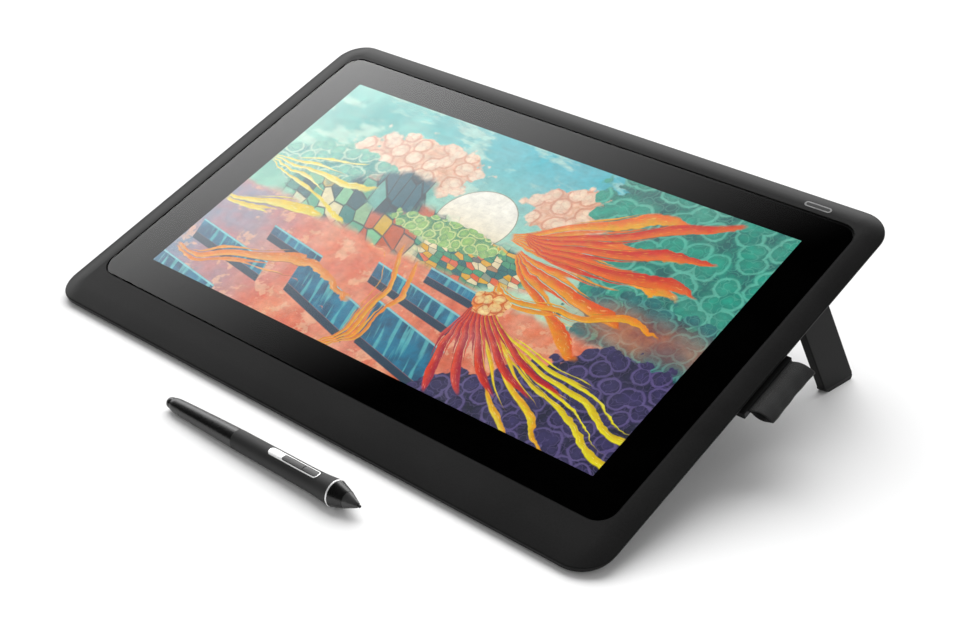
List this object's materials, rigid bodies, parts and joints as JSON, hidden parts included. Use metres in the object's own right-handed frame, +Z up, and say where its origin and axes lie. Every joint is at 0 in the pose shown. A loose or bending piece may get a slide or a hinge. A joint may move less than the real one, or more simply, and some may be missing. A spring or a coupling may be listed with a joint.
{
  "type": "pen drawing tablet",
  "caption": "Slim pen display on two fold-out rear legs, with a glass front, a power key, a side pen loop and a pen lying in front of it.",
  "frame": {"origin": "middle of the footprint on the desk, under the open tablet with its pen", "axes": "+X to the user's right along the housing, +Y away from the user, +Z up"},
  "size_m": [0.437, 0.3089, 0.0983],
  "materials": {
    "housing": "fine moulded texture, near black",
    "glass": "clear hardened glass, lightly etched",
    "black_print": "black print under the glass",
    "tape": "black foam tape",
    "screen": "lit picture",
    "optical_film": "white optical film",
    "light_guide": "clear acrylic",
    "circuit_board": "green solder mask",
    "flat_cable": "amber film cable",
    "chip": "black moulded chip",
    "connector": "ivory connector moulding",
    "sheet_steel": "plain zinc-plated sheet",
    "shield": "bare aluminium sheet",
    "frame_moulding": "white panel moulding",
    "inner_moulding": "black moulding",
    "screw": "black zinc",
    "button_ring": "pale grey, light-guiding",
    "button_key": "smooth black",
    "foot_rubber": "soft black rubber",
    "nib": "hard black plastic",
    "woven_band": "black elastic webbing",
    "pen_gloss": "glossy black",
    "pen_tip": "satin dark grey",
    "pen_grip": "soft-touch black",
    "pen_silver": "satin silver",
    "pen_key": "dark grey key",
    "copper_coil": "enamelled copper on ferrite"
  },
  "bodies": {
    "tablet": {"front_bezel": "housing", "rear_cover": "housing", "cover_glass": "glass", "glass_tape": "tape", "border_mask": "black_print", "lcd_panel": "screen", "diffuser_sheets": "optical_film", "light_guide": "light_guide", "led_strip": "circuit_board", "reflector_sheet": "optical_film", "panel_frame": "frame_moulding", "digitizer_board": "circuit_board", "shield_plate": "shield", "digitizer_cable": "flat_cable", "chassis_plate": "sheet_steel", "main_board": "circuit_board", "board_chips": "chip", "board_shield": "sheet_steel", "board_connectors": "connector", "cable_socket": "inner_moulding", "cable_bay": "housing", "lock_plate": "sheet_steel", "power_button_ring": "button_ring", "button_board": "circuit_board", "button_dome": "sheet_steel", "front_feet": "foot_rubber", "back_feet": "foot_rubber", "left_leg_well": "housing", "right_leg_well": "housing", "hinge_pins": "sheet_steel", "hinge_washers": "sheet_steel", "nib_holder": "foot_rubber", "spare_nibs": "nib", "nib_puller": "sheet_steel", "loop_socket": "inner_moulding", "case_screws": "screw", "chassis_screws": "screw", "board_screws": "screw"},
    "pen": {"pen_barrel": "pen_gloss", "pen_grip": "pen_grip", "pen_ring": "pen_silver", "pen_nose_cone": "pen_gloss", "pen_nose_tip": "pen_tip", "pen_eraser_sensor": "chip", "pen_switch_frame": "pen_silver", "pen_switch_pin": "sheet_steel", "pen_inner_frame": "frame_moulding", "pen_board": "circuit_board", "pen_coil": "copper_coil", "pen_sensor": "chip"},
    "left_leg_body": {"left_leg": "housing", "left_leg_foot": "foot_rubber"},
    "right_leg_body": {"right_leg": "housing", "right_leg_foot": "foot_rubber"},
    "power_key": {"power_button": "button_key"},
    "pen_loop": {"pen_loop_clip": "housing", "pen_loop_band": "woven_band"},
    "nib": {"pen_nib": "nib"},
    "eraser": {"pen_eraser": "pen_gloss"},
    "side_switch": {"pen_switch": "pen_key"}
  },
  "joints": [
    {"name": "right_leg_fold", "type": "hinge", "parent": "tablet", "child": "right_leg_body", "pos_m": [0.17169, 0.10805, 0.06509], "axis": [0, 0.9418, 0.3361], "range_deg": [0, 104]},
    {"name": "left_leg_fold", "type": "hinge", "parent": "tablet", "child": "left_leg_body", "pos_m": [-0.18771, 0.10805, 0.06509], "axis": [0, -0.9418, -0.3361], "range_deg": [0, 104]},
    {"name": "power_key_press", "type": "slide", "parent": "tablet", "child": "power_key", "axis": [0, 0.3361, -0.9418], "range_m": [0, 0.0004], "stiffness_N_per_m": 1500},
    {"name": "pen_loop_pull", "type": "slide", "parent": "tablet", "child": "pen_loop", "axis": [1, 0, 0], "range_m": [0, 0.0115]},
    {"name": "pen_lift", "type": "slide", "parent": "tablet", "child": "pen", "axis": [0, 0, 1], "range_m": [0, 0.15]},
    {"name": "nib_press", "type": "slide", "parent": "pen", "child": "nib", "axis": [-0.9997, 0.0106, -0.0219], "range_m": [0, 0.0005], "stiffness_N_per_m": 1200},
    {"name": "eraser_press", "type": "slide", "parent": "pen", "child": "eraser", "axis": [0.9997, -0.0106, 0.0219], "range_m": [0, 0.0006], "stiffness_N_per_m": 1200},
    {"name": "side_switch_rock", "type": "hinge", "parent": "pen", "child": "side_switch", "pos_m": [0.04188, -0.14719, 0.00987], "axis": [0.0071, 0.9877, 0.1564], "range_deg": [-2.5, 2.5], "stiffness_Nm_per_rad": 0.05}
  ]
}
